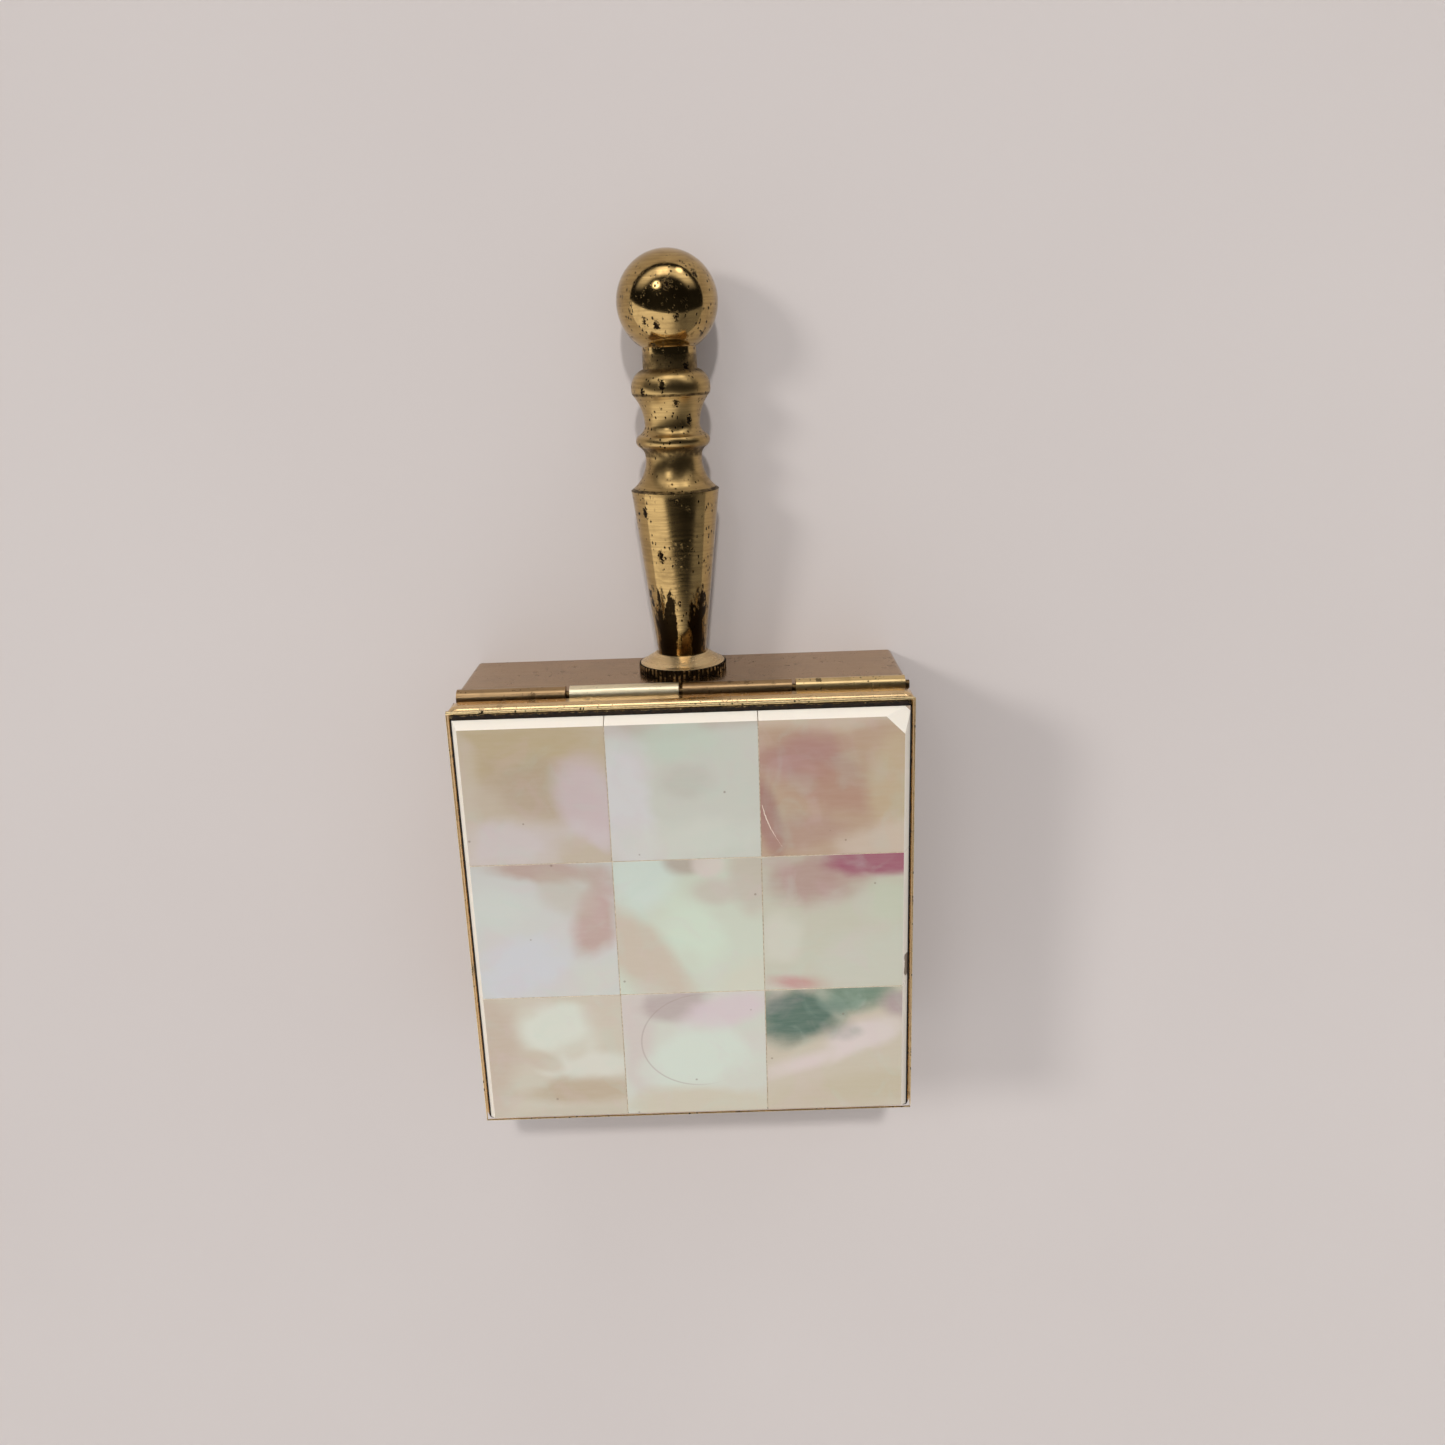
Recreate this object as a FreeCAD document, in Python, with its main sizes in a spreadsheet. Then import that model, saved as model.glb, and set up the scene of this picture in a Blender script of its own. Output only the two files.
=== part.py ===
import FreeCAD, Part
import os
import Sketcher
from FreeCAD import Placement, Rotation, Vector

# Pill crusher: a square hinged brass box with a panel of nine shell tiles on its lid. The turned pestle
# screws into the hinge-side wall. Millimetres. The origin is the centre of the base's underside, +Z is up
# through the lid, +Y points from the hinge along the pestle, and +X runs along the hinge.

DIMENSIONS = (
    # base
    ("base_half_width", 22.0), ("base_half_depth", 22.4), ("base_height", 13.6),
    ("base_wall", 0.8), ("base_floor", 0.8), ("base_corner", 0.5),
    ("scoop_radius", 9.4), ("scoop_depth", 0.4), ("scoop_height", 2.2),
    ("relief_level", 10.1), ("relief_depth", 0.95),
    # inner tray
    ("tray_half_width", 21.1), ("tray_front", 20.4), ("tray_rear", 21.3), ("tray_top", 14.9),
    ("tray_sheet", 0.5), ("tray_gap", 0.05), ("tray_corner", 1.4),
    ("well_rear", 16.6), ("shelf_level", 12.4),
    # lid and its panel
    ("lid_half_width", 22.15), ("lid_front", 22.55), ("lid_bottom", 13.7), ("rim_top", 16.7),
    ("lid_wall", 0.7), ("lid_corner", 1.2), ("rim_round", 0.8), ("cavity_top", 15.3), ("seat_level", 16.1),
    ("seat_gap", 0.15), ("panel_half_side", 21.6), ("panel_rear", 21.2), ("bed_thickness", 0.2),
    ("tile_pitch", 14.4), ("tile_joint", 0.08), ("tile_skirt", 0.4), ("panel_top", 17.9),
    ("bevel_width", 0.64), ("facet_top", 1.75), ("facet_foot", 0.5),
    # hinge: four tubes half sunk in the rear face, on the line where base and lid part
    ("hinge_level", 13.65), ("knuckle_radius", 0.9), ("knuckle_bore", 0.45), ("knuckle_length", 10.4),
    ("knuckle_gap", 0.4), ("hinge_half_length", 21.4), ("seat_film", 0.02), ("knuckle_clearance", 0.2),
    ("pin_radius", 0.42), ("pin_proud", 0.45), ("pin_clearance", 0.3),
    # catch
    ("catch_width", 8.0), ("tongue_outer", 21.35), ("tongue_inner", 20.95), ("tongue_tip", 11.3),
    ("leaf_sheet", 0.2), ("leaf_foot", 2.5), ("leaf_bend", 6.5), ("leaf_nose", 11.2), ("leaf_end", 12.6),
    ("leaf_nose_outer", 20.9), ("leaf_end_outer", 20.75),
    ("rivet_level", 4.3), ("rivet_offset", 2.5), ("rivet_radius", 0.55), ("rivet_fit", 0.01),
    ("rivet_head_radius", 1.0), ("rivet_head_height", 0.35),
    # bush and collar, measured along the pestle's axis from the rear face
    ("pestle_level", 4.9), ("spigot_radius", 2.3), ("spigot_fit", 0.02), ("bush_radius", 3.0),
    ("bush_length", 3.8), ("bush_bore", 1.8),
    ("collar_radius", 4.43), ("collar_rim", 0.8), ("collar_step", 1.05), ("collar_step_radius", 3.9),
    ("collar_top", 1.88), ("collar_top_radius", 2.6), ("collar_lift", 0.02),
    ("reed_radius", 0.15), ("reed_count", 56),
    # pestle: stations from the rear face and the radius at each
    ("tang_end", -4.4), ("tang_radius", 1.75), ("tang_chamfer", 0.3),
    ("foot", 1.9), ("foot_radius", 2.42),
    ("shoulder", 18.2), ("shoulder_radius", 4.3),
    ("cove", 21.6), ("cove_radius", 2.76), ("cove_curve", 3.6),
    ("ring", 22.9), ("ring_radius", 3.59), ("ring_under_curve", 1.6),
    ("waist", 24.3), ("waist_radius", 2.67), ("ring_over_curve", 1.9),
    ("bead_ridge", 27.3), ("bead_ridge_radius", 3.74), ("waist_curve", 4.6),
    ("neck", 29.6), ("neck_radius", 2.6), ("bead_curve", 1.9),
    ("ball_centre", 35.62), ("ball_radius", 4.8),
)
BASE_KNUCKLES = (1, 3)
LID_KNUCKLES = (2, 4)
ORIGIN_POINT = (-1, 1)

doc = FreeCAD.newDocument("pill_crusher")
sheet = doc.addObject("Spreadsheet::Sheet", "Dims")
for row, (alias, size) in enumerate(DIMENSIONS, start=1):
    sheet.set(f"A{row}", alias)
    sheet.set(f"B{row}", str(size))
    sheet.setAlias(f"B{row}", alias)
doc.recompute()
sub_parts = []


# ---- sketching helpers: every size is an expression of the sheet -------------------------------------

def fix(sketch, kind, geometry, point, expression, value=1.0):
    """Hold one coordinate of a sketch point at an expression, measured from the sketch's origin.

    The value is only where the point starts, which matters to the solver where arcs meet.
    """
    index = sketch.addConstraint(Sketcher.Constraint(kind, *ORIGIN_POINT, geometry, point, value))
    sketch.setExpression(f"Constraints[{index}]", expression)


def new_sketch(body, role, name, offset="0"):
    """A sketch on one of the body's own origin planes, moved along the plane's normal."""
    sketch = body.newObject("Sketcher::SketchObject", name)
    plane = next(f for f in body.Origin.OriginFeatures if f.Role == role)
    sketch.AttachmentSupport = [(plane, "")]
    sketch.MapMode = "FlatFace"
    sketch.setExpression("AttachmentOffset.Base.z", offset)
    return sketch


def add_polygon(sketch, points):
    """A closed outline of straight lines through (x, y) pairs of expressions."""
    count = len(points)
    first = sketch.GeometryCount
    for i in range(count):
        start = Vector(i, i * i, 0)
        end = Vector(i + 1, (i + 1) ** 2, 0)
        sketch.addGeometry(Part.LineSegment(start, end))
    for i in range(count):
        sketch.addConstraint(Sketcher.Constraint("Coincident", first + i, 2, first + (i + 1) % count, 1))
    for i, (x, y) in enumerate(points):
        fix(sketch, "DistanceX", first + i, 1, x)
        fix(sketch, "DistanceY", first + i, 1, y)


def add_rectangle(sketch, west, east, south, north):
    add_polygon(sketch, ((west, south), (east, south), (east, north), (west, north)))


def add_circle(sketch, x, y, radius):
    index = sketch.addGeometry(Part.Circle(Vector(1, 1, 0), Vector(0, 0, 1), 1.0))
    fix(sketch, "DistanceX", index, 3, x)
    fix(sketch, "DistanceY", index, 3, y)
    bound = sketch.addConstraint(Sketcher.Constraint("Radius", index, 1.0))
    sketch.setExpression(f"Constraints[{bound}]", radius)


# ---- feature helpers ------------------------------------------------------------------------------------

def new_body(label):
    body = doc.addObject("PartDesign::Body", label)
    body.Label = label
    sub_parts.append(body)
    return body


def place(part, x="0", y="0", z="0"):
    for axis, expression in zip("xyz", (x, y, z)):
        part.setExpression(f"Placement.Base.{axis}", expression)


def add_pad(body, sketch, name, length, midplane=False):
    pad = body.newObject("PartDesign::Pad", name)
    pad.Profile = sketch
    pad.Midplane = midplane
    pad.setExpression("Length", length)
    doc.recompute()
    return pad


def add_pocket(body, sketch, name, length=None, reverse=False, midplane=False):
    """Cut a sketch out of the body, through all of it unless a length is given."""
    before = body.Shape.Volume
    pocket = body.newObject("PartDesign::Pocket", name)
    pocket.Profile = sketch
    pocket.Reversed = reverse
    pocket.Midplane = midplane
    if length is None:
        pocket.Type = "ThroughAll"
    else:
        pocket.setExpression("Length", length)
    doc.recompute()
    if body.Shape.Volume > before - 1e-4:
        raise RuntimeError(f"{name} cut nothing")
    return pocket


def add_revolution(body, sketch, name):
    """Turn a half outline about the sketch's own horizontal axis."""
    turned = body.newObject("PartDesign::Revolution", name)
    turned.Profile = sketch
    turned.ReferenceAxis = (sketch, ["H_Axis"])
    turned.Angle = 360
    doc.recompute()
    return turned


def edge_names(feature, wanted):
    return [f"Edge{i}" for i, edge in enumerate(feature.Shape.Edges, start=1) if wanted(edge)]


def is_upright(edge):
    """True for a straight edge parallel to Z."""
    direction = edge.tangentAt(edge.FirstParameter)
    return edge.Curve.TypeId == "Part::GeomLine" and abs(abs(direction.z) - 1) < 1e-6


def add_fillet(body, feature, name, wanted, radius):
    fillet = body.newObject("PartDesign::Fillet", name)
    fillet.Base = (feature, edge_names(feature, wanted))
    fillet.setExpression("Radius", radius)
    doc.recompute()
    return fillet


# ---- base ----------------------------------------------------------------------------------------------

def knuckle_start(number):
    """Where a hinge tube starts along X; tubes are numbered from -X."""
    return f"-Dims.hinge_half_length + {number - 1} * (Dims.knuckle_length + Dims.knuckle_gap)"


def cut_hinge_seats(body, own_knuckles):
    """Seat the body's own tubes close, and leave its partner's tubes room to turn."""
    for number in BASE_KNUCKLES + LID_KNUCKLES:
        own = number in own_knuckles
        extra = "Dims.seat_film" if own else "Dims.knuckle_clearance"
        spread = "0" if own else "2 * Dims.knuckle_gap"
        middle = f"{knuckle_start(number)} + Dims.knuckle_length / 2"
        seat = new_sketch(body, "YZ_Plane", f"{body.Name}_seat_{number}_outline", middle)
        add_circle(seat, "Dims.base_half_depth", "Dims.hinge_level", f"Dims.knuckle_radius + {extra}")
        length = f"Dims.knuckle_length + {spread}"
        add_pocket(body, seat, f"{body.Name}_seat_{number}", length, midplane=True)


def make_base_pan():
    body = new_body("base_pan")
    outline = new_sketch(body, "XY_Plane", "base_outline")
    add_rectangle(outline, "-Dims.base_half_width", "Dims.base_half_width",
                  "-Dims.base_half_depth", "Dims.base_half_depth")
    block = add_pad(body, outline, "base_block", "Dims.base_height")
    add_fillet(body, block, "base_corners", is_upright, "Dims.base_corner")

    hollow = new_sketch(body, "XY_Plane", "base_hollow_outline", "Dims.base_floor")
    add_rectangle(hollow, "-Dims.base_half_width + Dims.base_wall", "Dims.base_half_width - Dims.base_wall",
                  "-Dims.base_half_depth + Dims.base_wall", "Dims.base_half_depth - Dims.base_wall")
    add_pocket(body, hollow, "base_hollow", reverse=True)

    # thumbnail scoop at the middle of the front wall's upper edge
    scoop = new_sketch(body, "XY_Plane", "scoop_outline", "Dims.base_height - Dims.scoop_height")
    add_circle(scoop, "0", "-Dims.base_half_depth - Dims.scoop_radius + Dims.scoop_depth", "Dims.scoop_radius")
    add_pocket(body, scoop, "scoop", reverse=True)

    # the rear corners are cut down beyond the ends of the hinge
    for side, sign in (("left", "-"), ("right", "")):
        relief = new_sketch(body, "XY_Plane", f"{side}_relief_outline", "Dims.relief_level")
        add_rectangle(relief, f"{sign}Dims.hinge_half_length", f"{sign}(Dims.base_half_width + 1)",
                      "Dims.base_half_depth - Dims.relief_depth", "Dims.base_half_depth + 1")
        add_pocket(body, relief, f"{side}_relief", reverse=True)

    bush_hole = new_sketch(body, "XZ_Plane", "bush_hole_outline")
    add_circle(bush_hole, "0", "Dims.pestle_level", "Dims.spigot_radius + Dims.spigot_fit")
    add_pocket(body, bush_hole, "bush_hole")

    rivet_holes = new_sketch(body, "XZ_Plane", "rivet_hole_outline")
    for side in ("-", ""):
        add_circle(rivet_holes, f"{side}Dims.rivet_offset", "Dims.rivet_level",
                   "Dims.rivet_radius + Dims.rivet_fit")
    add_pocket(body, rivet_holes, "rivet_holes", reverse=True)
    cut_hinge_seats(body, BASE_KNUCKLES)


def make_liner_tray():
    """Pressed tray: a deep well, and at the rear a shelf that covers the pestle's bush."""
    body = new_body("liner_tray")
    bottom = "Dims.base_floor + Dims.tray_gap"
    outline = new_sketch(body, "XY_Plane", "tray_outline", bottom)
    add_rectangle(outline, "-Dims.tray_half_width", "Dims.tray_half_width", "-Dims.tray_front", "Dims.tray_rear")
    block = add_pad(body, outline, "tray_block", f"Dims.tray_top - ({bottom})")
    add_fillet(body, block, "tray_corners", is_upright, "Dims.tray_corner")

    inner_side = "Dims.tray_half_width - Dims.tray_sheet"
    inner_front = "-Dims.tray_front + Dims.tray_sheet"
    levels = (("mouth", "Dims.tray_rear - Dims.tray_sheet", "Dims.shelf_level"),
              ("well", "Dims.well_rear", f"{bottom} + Dims.tray_sheet"))
    for name, rear, level in levels:
        hollow = new_sketch(body, "XY_Plane", f"tray_{name}_outline", level)
        add_rectangle(hollow, f"-({inner_side})", inner_side, inner_front, rear)
        add_pocket(body, hollow, f"tray_{name}", reverse=True)

    under = new_sketch(body, "XY_Plane", "under_shelf_outline")
    add_rectangle(under, "-Dims.base_half_width", "Dims.base_half_width",
                  "Dims.well_rear + Dims.tray_sheet", "Dims.base_half_depth")
    pocket = add_pocket(body, under, "under_shelf", "Dims.shelf_level - Dims.tray_sheet", reverse=True)

    def is_inner_corner(edge):
        middle = edge.CenterOfMass
        inside = abs(middle.x) < sheet.tray_half_width - sheet.tray_sheet / 2
        return is_upright(edge) and inside and -sheet.tray_front < middle.y < sheet.tray_rear

    add_fillet(body, pocket, "well_corners", is_inner_corner, "Dims.tray_corner - Dims.tray_sheet")


# ---- lid ------------------------------------------------------------------------------------------------

def make_lid_frame():
    body = new_body("lid_frame")
    outline = new_sketch(body, "XY_Plane", "lid_outline", "Dims.lid_bottom")
    add_rectangle(outline, "-Dims.lid_half_width", "Dims.lid_half_width", "-Dims.lid_front",
                  "Dims.base_half_depth")
    block = add_pad(body, outline, "lid_block", "Dims.rim_top - Dims.lid_bottom")
    corners = add_fillet(body, block, "lid_corners", is_upright, "Dims.lid_corner")

    def is_top(edge):
        return all(abs(v.Z - sheet.rim_top) < 1e-6 for v in edge.Vertexes)

    add_fillet(body, corners, "rim_rounding", is_top, "Dims.rim_round")

    seat = new_sketch(body, "XY_Plane", "seat_outline", "Dims.seat_level")
    add_rectangle(seat, "-Dims.panel_half_side - Dims.seat_gap", "Dims.panel_half_side + Dims.seat_gap",
                  "Dims.panel_rear - 2 * Dims.panel_half_side - Dims.seat_gap",
                  "Dims.panel_rear + Dims.seat_gap")
    add_pocket(body, seat, "seat", reverse=True)

    cavity = new_sketch(body, "XY_Plane", "cavity_outline", "Dims.cavity_top")
    add_rectangle(cavity, "-Dims.lid_half_width + Dims.lid_wall", "Dims.lid_half_width - Dims.lid_wall",
                  "-Dims.lid_front + Dims.lid_wall", "Dims.base_half_depth - Dims.lid_wall")
    add_pocket(body, cavity, "cavity")
    cut_hinge_seats(body, LID_KNUCKLES)

    # the skirt is notched beyond the last tube, where the pin stands proud
    notch = new_sketch(body, "YZ_Plane", "pin_notch_outline", "Dims.hinge_half_length")
    add_circle(notch, "Dims.base_half_depth", "Dims.hinge_level", "Dims.pin_radius + Dims.pin_clearance")
    add_pocket(body, notch, "pin_notch", reverse=True)


def make_tile_bed():
    bed = doc.addObject("Part::Box", "tile_bed")
    bed.Label = "tile_bed"
    bed.setExpression("Length", "2 * Dims.panel_half_side")
    bed.setExpression("Width", "2 * Dims.panel_half_side")
    bed.setExpression("Height", "Dims.bed_thickness")
    place(bed, "-Dims.panel_half_side", "Dims.panel_rear - 2 * Dims.panel_half_side", "Dims.seat_level")
    sub_parts.append(bed)


def make_tile(row, column):
    """One shell tile: a square skirt, then sides that lean in wherever the tile is at the panel's edge."""
    label = f"tile_{row}_{column}"
    body = new_body(label)
    half = "(Dims.tile_pitch - Dims.tile_joint) / 2"
    top = "Dims.panel_top - Dims.seat_level - Dims.bed_thickness"

    skirt = new_sketch(body, "XY_Plane", f"{label}_outline")
    add_rectangle(skirt, f"-{half}", half, f"-{half}", half)
    add_pad(body, skirt, f"{label}_skirt", "Dims.tile_skirt")

    lower = new_sketch(body, "XY_Plane", f"{label}_lower", "Dims.tile_skirt")
    add_rectangle(lower, f"-{half}", half, f"-{half}", half)
    upper = new_sketch(body, "XY_Plane", f"{label}_upper", top)
    lean_west = " + Dims.bevel_width" if column == 1 else ""
    lean_east = " - Dims.bevel_width" if column == 3 else ""
    lean_south = " + Dims.bevel_width" if row == 3 else ""
    lean_north = " - Dims.bevel_width" if row == 1 else ""
    add_rectangle(upper, f"-{half}{lean_west}", f"{half}{lean_east}", f"-{half}{lean_south}",
                  f"{half}{lean_north}")
    loft = body.newObject("PartDesign::AdditiveLoft", f"{label}_top")
    loft.Profile = lower
    loft.Sections = [upper]
    loft.Ruled = True
    doc.recompute()

    if (row, column) == (1, 3):
        # this tile's outer corner is ground off to a leaning facet
        outside = f"({half} + 1)"
        levels = (("foot", f"2 * {half} - Dims.facet_foot", "Dims.tile_skirt"),
                  ("top", f"2 * ({half} - Dims.bevel_width) - Dims.facet_top", top))
        ends = []
        for name, reach, level in levels:
            end = new_sketch(body, "XY_Plane", f"{label}_facet_{name}", level)
            far = f"{reach} - {outside}"
            add_polygon(end, ((outside, outside), (far, outside), (outside, far)))
            ends.append(end)
        facet = body.newObject("PartDesign::SubtractiveLoft", f"{label}_facet")
        facet.Profile = ends[0]
        facet.Sections = ends[1:]
        facet.Ruled = True
        doc.recompute()

    place(body, f"{column - 2} * Dims.tile_pitch",
          f"Dims.panel_rear - Dims.panel_half_side + {2 - row} * Dims.tile_pitch",
          "Dims.seat_level + Dims.bed_thickness")


# ---- hinge ----------------------------------------------------------------------------------------------

def make_knuckle(number):
    label = f"hinge_knuckle_{number}"
    body = new_body(label)
    section = new_sketch(body, "YZ_Plane", f"{label}_section")
    add_circle(section, "0", "0", "Dims.knuckle_radius")
    add_circle(section, "0", "0", "Dims.knuckle_bore")
    add_pad(body, section, f"{label}_tube", "Dims.knuckle_length")
    place(body, knuckle_start(number), "Dims.base_half_depth", "Dims.hinge_level")


def make_hinge_pin():
    pin = doc.addObject("Part::Cylinder", "hinge_pin")
    pin.Label = "hinge_pin"
    pin.Placement = Placement(Vector(0, 0, 0), Rotation(Vector(0, 1, 0), 90))
    pin.setExpression("Radius", "Dims.pin_radius")
    pin.setExpression("Height", "2 * Dims.hinge_half_length + Dims.pin_proud")
    place(pin, "-Dims.hinge_half_length", "Dims.base_half_depth", "Dims.hinge_level")
    sub_parts.append(pin)


# ---- catch ----------------------------------------------------------------------------------------------

def make_catch_tongue():
    tongue = doc.addObject("Part::Box", "catch_tongue")
    tongue.Label = "catch_tongue"
    tongue.setExpression("Length", "Dims.catch_width")
    tongue.setExpression("Width", "Dims.tongue_outer - Dims.tongue_inner")
    tongue.setExpression("Height", "Dims.cavity_top - Dims.tongue_tip")
    place(tongue, "-Dims.catch_width / 2", "-Dims.tongue_outer", "Dims.tongue_tip")
    sub_parts.append(tongue)


def make_catch_spring():
    """A leaf riveted low on the front wall, bent in so that its nose bears on the tongue."""
    body = new_body("catch_spring")
    wall_face = "Dims.base_half_depth - Dims.base_wall"
    stations = ((wall_face, "Dims.leaf_foot"), (wall_face, "Dims.leaf_bend"),
                ("Dims.leaf_nose_outer", "Dims.leaf_nose"), ("Dims.leaf_end_outer", "Dims.leaf_end"))
    outer = [(f"-({depth})", level) for depth, level in stations]
    inner = [(f"-({depth}) + Dims.leaf_sheet", level) for depth, level in reversed(stations)]
    side = new_sketch(body, "YZ_Plane", "leaf_side")
    add_polygon(side, outer + inner)
    add_pad(body, side, "leaf", "Dims.catch_width", midplane=True)
    holes = new_sketch(body, "XZ_Plane", "leaf_hole_outline")
    for sign in ("-", ""):
        add_circle(holes, f"{sign}Dims.rivet_offset", "Dims.rivet_level", "Dims.rivet_radius + Dims.rivet_fit")
    add_pocket(body, holes, "leaf_holes", reverse=True)


def make_catch_rivets():
    """Two rivets: the shank fills the wall and the leaf, the head is inside."""
    rivets = []
    for side, sign in (("left", "-"), ("right", "")):
        sections = (("shank", "Dims.rivet_radius", "Dims.base_wall + Dims.leaf_sheet + Dims.rivet_head_height",
                     "-Dims.base_half_depth"),
                    ("head", "Dims.rivet_head_radius", "Dims.rivet_head_height",
                     "-Dims.base_half_depth + Dims.base_wall + Dims.leaf_sheet"))
        solids = []
        for name, radius, length, start in sections:
            solid = doc.addObject("Part::Cylinder", f"rivet_{side}_{name}")
            solid.Placement = Placement(Vector(0, 0, 0), Rotation(Vector(1, 0, 0), -90))
            solid.setExpression("Radius", radius)
            solid.setExpression("Height", length)
            place(solid, f"{sign}Dims.rivet_offset", start, "Dims.rivet_level")
            solids.append(solid)
        rivet = doc.addObject("Part::MultiFuse", f"rivet_{side}")
        rivet.Shapes = solids
        rivets.append(rivet)
    group = doc.addObject("Part::Compound", "catch_rivets")
    group.Label = "catch_rivets"
    group.Links = rivets
    sub_parts.append(group)


# ---- pestle, collar and bush: turned about the pestle's own axis --------------------------------------

def place_on_axis(body):
    """Local +Y is the distance out from the rear face."""
    place(body, "0", "Dims.base_half_depth", "Dims.pestle_level")


def make_bush():
    body = new_body("pestle_bush")
    outline = new_sketch(body, "YZ_Plane", "bush_outline")
    inner_end = "-Dims.base_wall - Dims.bush_length"
    add_polygon(outline, (("0", "Dims.bush_bore"), ("0", "Dims.spigot_radius"),
                          ("-Dims.base_wall", "Dims.spigot_radius"), ("-Dims.base_wall", "Dims.bush_radius"),
                          (inner_end, "Dims.bush_radius"), (inner_end, "Dims.bush_bore")))
    add_revolution(body, outline, "bush")
    place_on_axis(body)


def make_collar():
    body = new_body("collar")
    outline = new_sketch(body, "YZ_Plane", "collar_outline")
    add_polygon(outline, (("Dims.collar_lift", "Dims.bush_bore"), ("Dims.collar_lift", "Dims.collar_radius"),
                          ("Dims.collar_rim", "Dims.collar_radius"),
                          ("Dims.collar_step", "Dims.collar_step_radius"),
                          ("Dims.collar_top", "Dims.collar_top_radius"), ("Dims.collar_top", "Dims.bush_bore")))
    add_revolution(body, outline, "collar_disc")

    # fine reeds around the rim
    reed_outline = new_sketch(body, "XZ_Plane", "reed_outline")
    add_circle(reed_outline, "Dims.collar_radius", "0", "Dims.reed_radius")
    reed = add_pocket(body, reed_outline, "reed")
    reeds = body.newObject("PartDesign::PolarPattern", "reeds")
    reeds.Originals = [reed]
    reeds.Axis = (reed_outline, ["N_Axis"])
    reeds.Angle = 360
    reeds.setExpression("Occurrences", "Dims.reed_count")
    body.Tip = reeds
    doc.recompute()
    place_on_axis(body)


def add_turned_outline(sketch, start, steps):
    """Half outline of a turning: from start, each step is a line or an arc to (station, radius).

    A step's third entry is its arc's radius and its fourth says whether the arc bulges out (+1) or in (-1).
    The outline ends where it meets the axis, and closes along it.
    """
    def spot(pair):
        station, radius = (getattr(sheet, name) if name else 0.0 for name in pair)
        return Vector(station, radius, 0)

    here = start
    ends = []
    for target, curve, bulge in steps:
        a, b = spot(here), spot(target)
        if curve:
            size = getattr(sheet, curve)
            half_chord = (b - a) / 2
            across = Vector(-half_chord.y, half_chord.x, 0).normalize() * bulge
            drop = (size ** 2 - half_chord.Length ** 2) ** 0.5
            centre = a + half_chord - across * drop
            crest = centre + across * size
            index = sketch.addGeometry(Part.Arc(a, crest, b))
            bound = sketch.addConstraint(Sketcher.Constraint("Radius", index, size))
            sketch.setExpression(f"Constraints[{bound}]", f"Dims.{curve}")
        else:
            index = sketch.addGeometry(Part.LineSegment(a, b))
        # a sketch arc starts at the end that leaves it to run anticlockwise
        head, tail = (2, 1) if bulge > 0 else (1, 2)
        ends.append((index, head, tail, target))
        here = target
    closing = sketch.addGeometry(Part.LineSegment(spot(here), spot(start)))
    ends.append((closing, 1, 2, start))
    for (one, _, tail, target), (other, head, _, _) in zip(ends, ends[1:] + ends[:1]):
        sketch.addConstraint(Sketcher.Constraint("Coincident", one, tail, other, head))
        for kind, name, value in zip(("DistanceX", "DistanceY"), target, spot(target)):
            fix(sketch, kind, one, tail, f"Dims.{name}" if name else "0", value)


def make_pestle():
    """Threaded tang, long taper, cove, sharp ring, waist, bead, neck and ball, turned from one bar."""
    body = new_body("pestle")
    outline = new_sketch(body, "YZ_Plane", "pestle_outline")
    steps = (
        (("tang_end", "tang_radius"), "", 0),
        (("foot", "tang_radius"), "", 0),
        (("foot", "foot_radius"), "", 0),
        (("shoulder", "shoulder_radius"), "", 0),
        (("cove", "cove_radius"), "cove_curve", -1),
        (("ring", "ring_radius"), "ring_under_curve", -1),
        (("waist", "waist_radius"), "ring_over_curve", -1),
        (("bead_ridge", "bead_ridge_radius"), "waist_curve", -1),
        (("neck", "neck_radius"), "bead_curve", 1),
        (("ball_centre", "neck_radius"), "", 0),
        (("ball_centre", ""), "", 0),
    )
    add_turned_outline(outline, ("tang_end", ""), steps)
    add_revolution(body, outline, "pestle_turning")

    def is_tang_end(edge):
        round_edge = not edge.Degenerated and edge.isClosed()
        return round_edge and abs(edge.CenterOfMass.y - sheet.tang_end) < 1e-6

    ball = body.newObject("PartDesign::AdditiveSphere", "ball")
    ball.setExpression("Radius", "Dims.ball_radius")
    ball.setExpression("Placement.Base.y", "Dims.ball_centre")
    doc.recompute()

    chamfer = body.newObject("PartDesign::Chamfer", "tang_lead")
    chamfer.Base = (ball, edge_names(ball, is_tang_end))
    chamfer.setExpression("Size", "Dims.tang_chamfer")
    doc.recompute()
    place_on_axis(body)


def write_parts():
    """Stop on any failed feature, then write each sub-part under its own name."""
    doc.recompute()
    for item in doc.Objects:
        if "Invalid" in item.State or "Error" in item.State:
            raise RuntimeError(f"{item.Label}: {item.State}")
    os.makedirs("parts", exist_ok=True)
    for part in sub_parts:
        shape = part.Shape
        if shape.isNull() or not shape.isValid():
            raise RuntimeError(f"{part.Label} has no valid shape")
        shape.exportStep(f"parts/{part.Label}.step")
        box = shape.BoundBox
        print(f"{part.Label:18s} solids {len(shape.Solids)} volume {shape.Volume:9.2f}"
              f"  x {box.XMin:.2f} {box.XMax:.2f}  y {box.YMin:.2f} {box.YMax:.2f}"
              f"  z {box.ZMin:.2f} {box.ZMax:.2f}")


make_base_pan()
make_liner_tray()
make_lid_frame()
make_tile_bed()
for row in (1, 2, 3):
    for column in (1, 2, 3):
        make_tile(row, column)
for number in BASE_KNUCKLES + LID_KNUCKLES:
    make_knuckle(number)
make_hinge_pin()
make_catch_tongue()
make_catch_spring()
make_catch_rivets()
make_bush()
make_collar()
make_pestle()
write_parts()
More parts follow.
